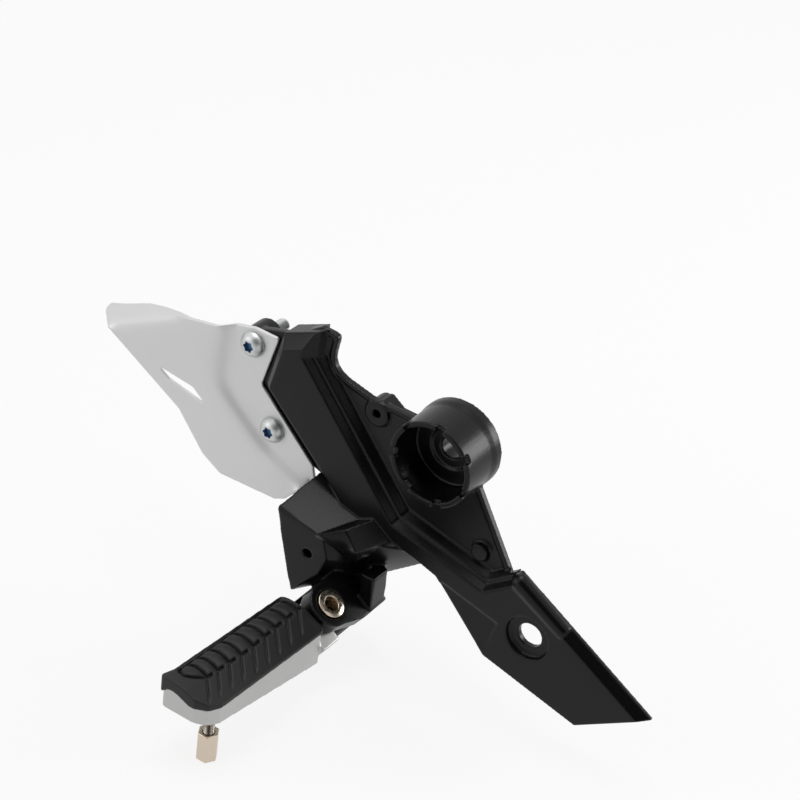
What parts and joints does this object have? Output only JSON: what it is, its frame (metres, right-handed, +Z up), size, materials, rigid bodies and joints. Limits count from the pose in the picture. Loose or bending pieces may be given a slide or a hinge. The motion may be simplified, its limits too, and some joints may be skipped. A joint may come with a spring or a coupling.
{
  "type": "motorcycle footrest hanger",
  "caption": "Right-hand cast footrest hanger with a castellated frame-bolt cup, a sheet heel guard and a folding rubber-topped footpeg on a tilted hollow pin.",
  "frame": {"origin": "axis of the frame bolt's bore on the inboard mounting face of the cup", "axes": "+X forward, +Y inboard towards the motorcycle's frame, +Z up"},
  "size_m": [0.3666, 0.1709, 0.1751],
  "materials": {
    "black_casting": "satin black coating on die-cast aluminium",
    "guard_sheet": "satin silver",
    "zinc": "zinc plated",
    "nickel": "warm nickel plate",
    "spring_steel": "oiled spring steel",
    "silver_casting": "satin cast aluminium",
    "rubber": "matte moulded rubber"
  },
  "bodies": {
    "hanger": {"hanger_casting": "black_casting", "heel_guard": "guard_sheet", "guard_screw_upper": "zinc", "guard_screw_lower": "zinc", "pivot_pin": "nickel", "pin_washer": "zinc", "pin_circlip": "spring_steel", "return_spring": "spring_steel"},
    "footpeg": {"peg_body": "silver_casting", "peg_rubber": "rubber", "feeler_stud": "zinc", "feeler_sleeve": "nickel"}
  },
  "joints": [
    {"name": "peg_fold", "type": "hinge", "parent": "hanger", "child": "footpeg", "pos_m": [-0.0344, -0.05, -0.095], "axis": [-0.5736, 0, -0.8192], "range_deg": [0, 50], "stiffness_Nm_per_rad": 0.25, "springref_deg": -34.38}
  ]
}
